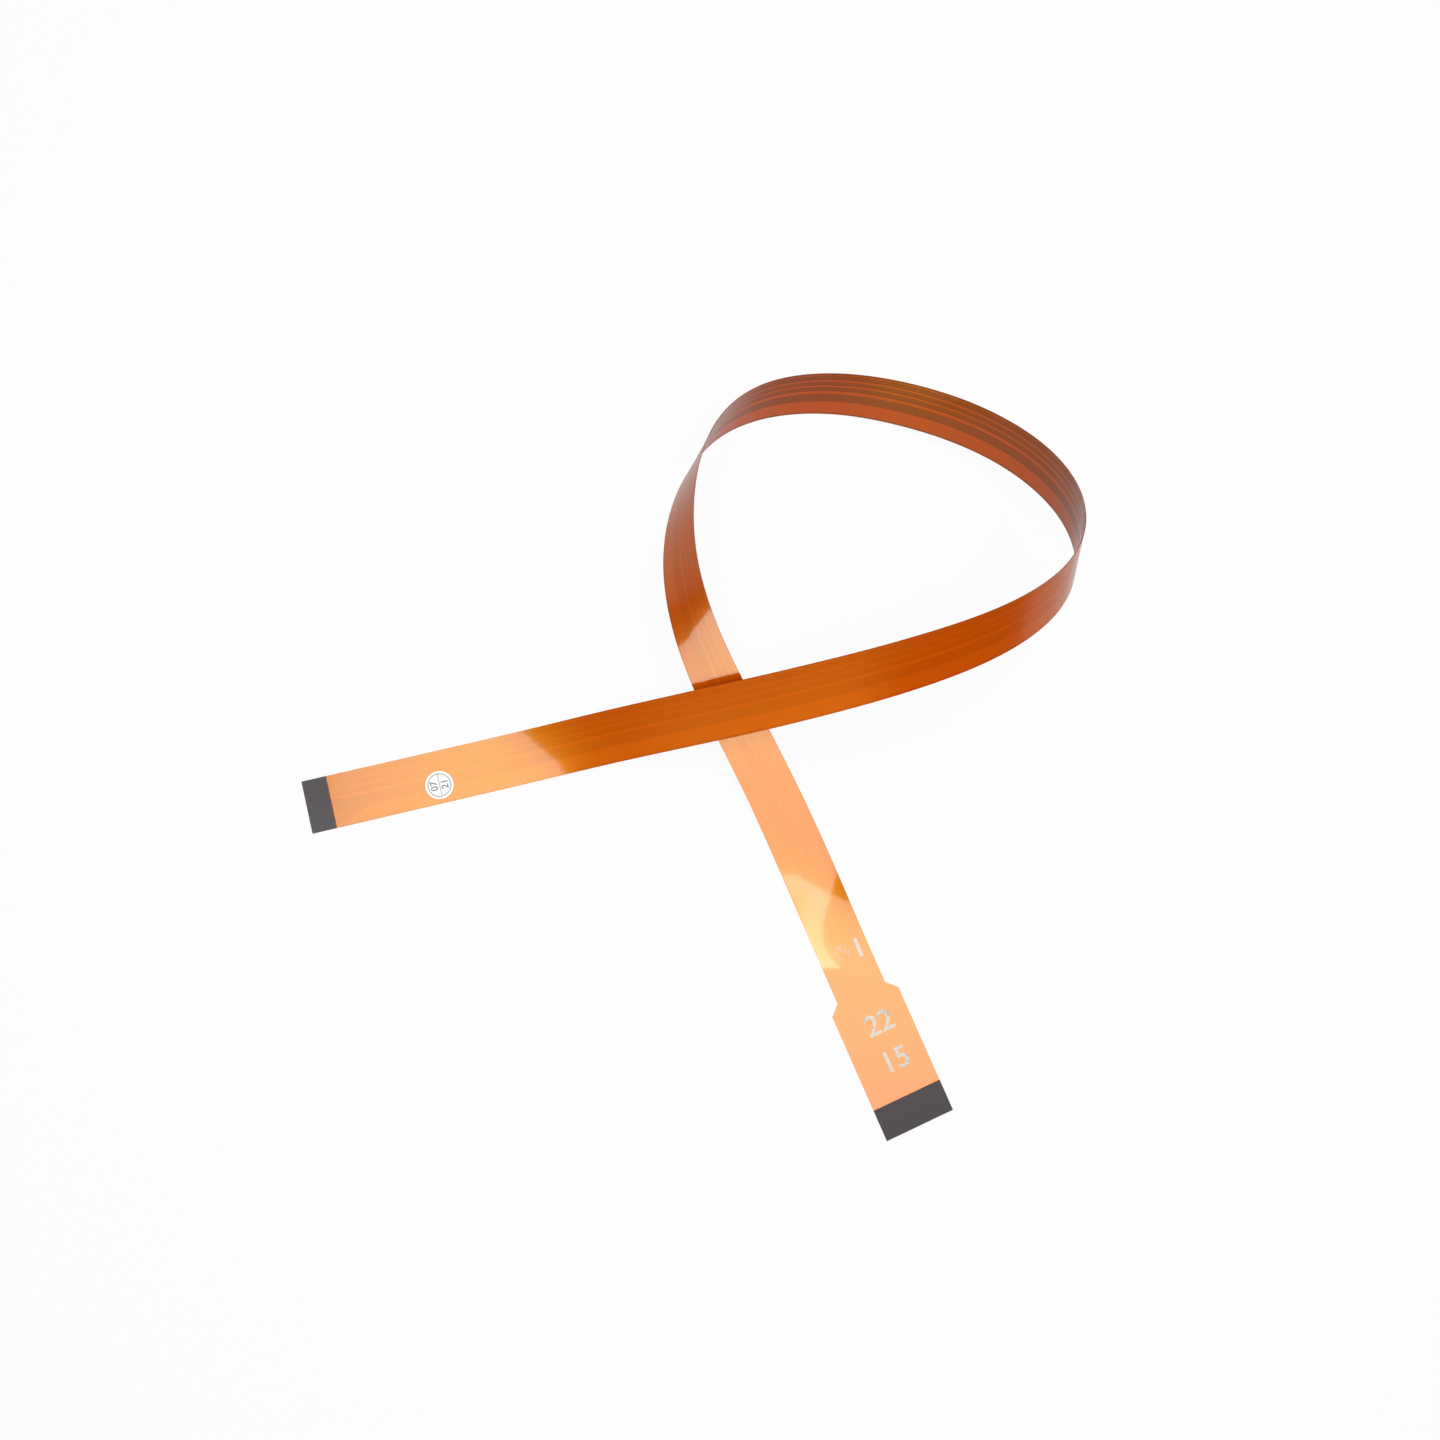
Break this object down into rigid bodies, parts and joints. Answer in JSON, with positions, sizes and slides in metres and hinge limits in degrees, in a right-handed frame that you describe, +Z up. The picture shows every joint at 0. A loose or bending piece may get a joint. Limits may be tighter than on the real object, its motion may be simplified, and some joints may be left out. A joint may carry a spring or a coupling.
{
  "type": "flat flex adapter cable",
  "caption": "Flat flexible ribbon cable that joins a fine-pitch contact end to a wider coarse-pitch end, lying in one open loop that crosses over itself.",
  "frame": {"origin": "on the surface that the cable lies on, under the middle of its bounding box", "axes": "+Z up from the surface; the narrow end points to -X, the wide end to -Y, and the open loop lies towards +X and +Y"},
  "size_m": [0.1635, 0.1667, 0.0368],
  "materials": {
    "film": "glossy amber polyimide",
    "copper": "gold-plated copper",
    "stiffener": "satin dark grey",
    "sticker": "matt white paper"
  },
  "bodies": {
    "root": {"cover_film": "film", "base_film": "film", "conductor_01": "copper", "conductor_02": "copper", "conductor_03": "copper", "conductor_04": "copper", "conductor_05": "copper", "conductor_06": "copper", "conductor_07": "copper", "conductor_08": "copper", "conductor_09": "copper", "conductor_10": "copper", "conductor_11": "copper", "conductor_12": "copper", "conductor_13": "copper", "conductor_14": "copper", "conductor_15": "copper", "spare_contact_11": "copper", "spare_contact_12": "copper", "spare_contact_13": "copper", "spare_contact_14": "copper", "spare_contact_15": "copper", "spare_contact_16": "copper", "spare_contact_19": "copper", "stiffener_narrow": "stiffener", "stiffener_wide": "stiffener", "inspection_sticker": "sticker"}
  },
  "joints": []
}
